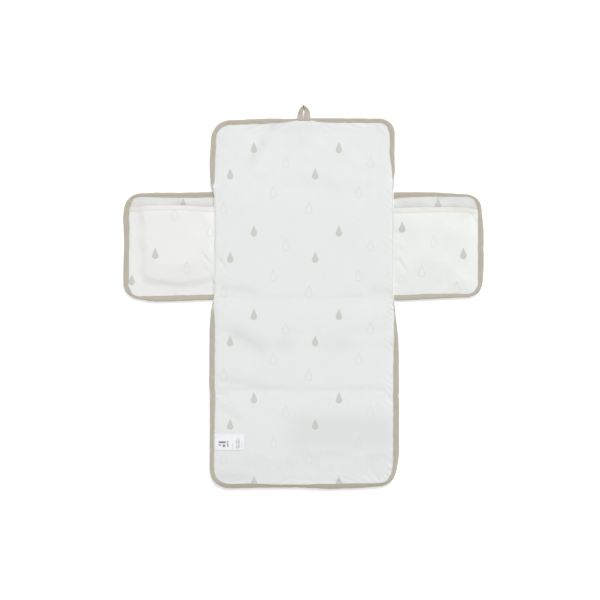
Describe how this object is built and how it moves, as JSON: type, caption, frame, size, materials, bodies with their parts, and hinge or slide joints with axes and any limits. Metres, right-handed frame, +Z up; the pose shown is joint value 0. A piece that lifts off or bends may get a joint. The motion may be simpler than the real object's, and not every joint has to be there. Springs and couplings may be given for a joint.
{
  "type": "changing pad",
  "caption": "Fold-up padded changing pad with bound edges, a pocket wing on each side, a closing flap with a tape loop, and a button on its back.",
  "frame": {"origin": "middle of the open pad's outline, loop included, on the surface it lies on", "axes": "+Y towards the closing flap and its loop, +X to the right when looking down with the flap at the top, +Z up out of the lying surface"},
  "size_m": [0.683, 0.728, 0.0082],
  "materials": {
    "cover_fabric": "white woven cotton with a small drop print",
    "lining_fabric": "white woven cotton inside the pocket wings, seen in shade",
    "outer_fabric": "plain taupe woven cotton",
    "wadding": "soft polyester wadding",
    "binding_tape": "taupe cotton bias tape, topstitched",
    "seam_tape": "white cotton edge with a cream seam line",
    "hem_tape": "cream cotton hem, topstitched",
    "label_satin": "white satin ribbon",
    "button": "semi-gloss resin",
    "thread": "cotton thread"
  },
  "bodies": {
    "centre": {"centre_cover": "cover_fabric", "centre_padding": "wadding", "centre_backing": "outer_fabric", "left_seam_tape": "seam_tape", "right_seam_tape": "seam_tape"},
    "upper_fold": {"upper_fold_cover": "cover_fabric", "upper_fold_padding": "wadding", "upper_fold_backing": "outer_fabric", "upper_fold_binding": "binding_tape"},
    "flap": {"flap_cover": "cover_fabric", "flap_padding": "wadding", "flap_backing": "outer_fabric", "flap_binding": "binding_tape", "loop_ends": "binding_tape"},
    "closing_loop": {"closing_loop": "binding_tape"},
    "lower_fold": {"lower_fold_cover": "cover_fabric", "lower_fold_padding": "wadding", "lower_fold_backing": "outer_fabric", "lower_fold_binding": "binding_tape"},
    "lower_panel": {"lower_panel_cover": "cover_fabric", "lower_panel_padding": "wadding", "lower_panel_backing": "outer_fabric", "lower_panel_binding": "binding_tape", "closing_button": "button", "button_thread": "thread"},
    "end_panel": {"end_panel_cover": "cover_fabric", "end_panel_padding": "wadding", "end_panel_backing": "outer_fabric", "end_panel_binding": "binding_tape", "care_label": "label_satin"},
    "left_wing": {"left_wing_backing": "outer_fabric", "left_wing_lining": "lining_fabric", "left_wing_binding": "binding_tape", "left_pocket_front": "cover_fabric", "left_pocket_hem": "hem_tape"},
    "right_wing": {"right_wing_backing": "outer_fabric", "right_wing_lining": "lining_fabric", "right_wing_binding": "binding_tape", "right_pocket_front": "cover_fabric", "right_pocket_hem": "hem_tape"}
  },
  "joints": [
    {"name": "upper_fold", "type": "hinge", "parent": "centre", "child": "upper_fold", "pos_m": [0, 0.2, 0.0063], "axis": [1, 0, 0], "range_deg": [0, 90]},
    {"name": "flap_fold", "type": "hinge", "parent": "upper_fold", "child": "flap", "pos_m": [0, 0.2225, 0.0063], "axis": [1, 0, 0], "range_deg": [0, 90]},
    {"name": "loop_bend", "type": "hinge", "parent": "flap", "child": "closing_loop", "pos_m": [0, 0.3382, 0.0021], "axis": [-1, 0, 0], "range_deg": [-90, 0]},
    {"name": "lower_fold", "type": "hinge", "parent": "centre", "child": "lower_fold", "pos_m": [0, -0.009, 0.0063], "axis": [-1, 0, 0], "range_deg": [0, 90]},
    {"name": "lower_panel_fold", "type": "hinge", "parent": "lower_fold", "child": "lower_panel", "pos_m": [0, -0.0245, 0.0063], "axis": [-1, 0, 0], "range_deg": [0, 90]},
    {"name": "end_fold", "type": "hinge", "parent": "lower_panel", "child": "end_panel", "pos_m": [0, -0.19475, 0.0063], "axis": [-1, 0, 0], "range_deg": [0, 180]},
    {"name": "left_wing_fold", "type": "hinge", "parent": "centre", "child": "left_wing", "pos_m": [-0.1714, 0.0955, 0.0076], "axis": [0, 1, 0], "range_deg": [0, 180]},
    {"name": "right_wing_fold", "type": "hinge", "parent": "centre", "child": "right_wing", "pos_m": [0.1714, 0.0955, 0.0076], "axis": [0, -1, 0], "range_deg": [0, 180]}
  ]
}
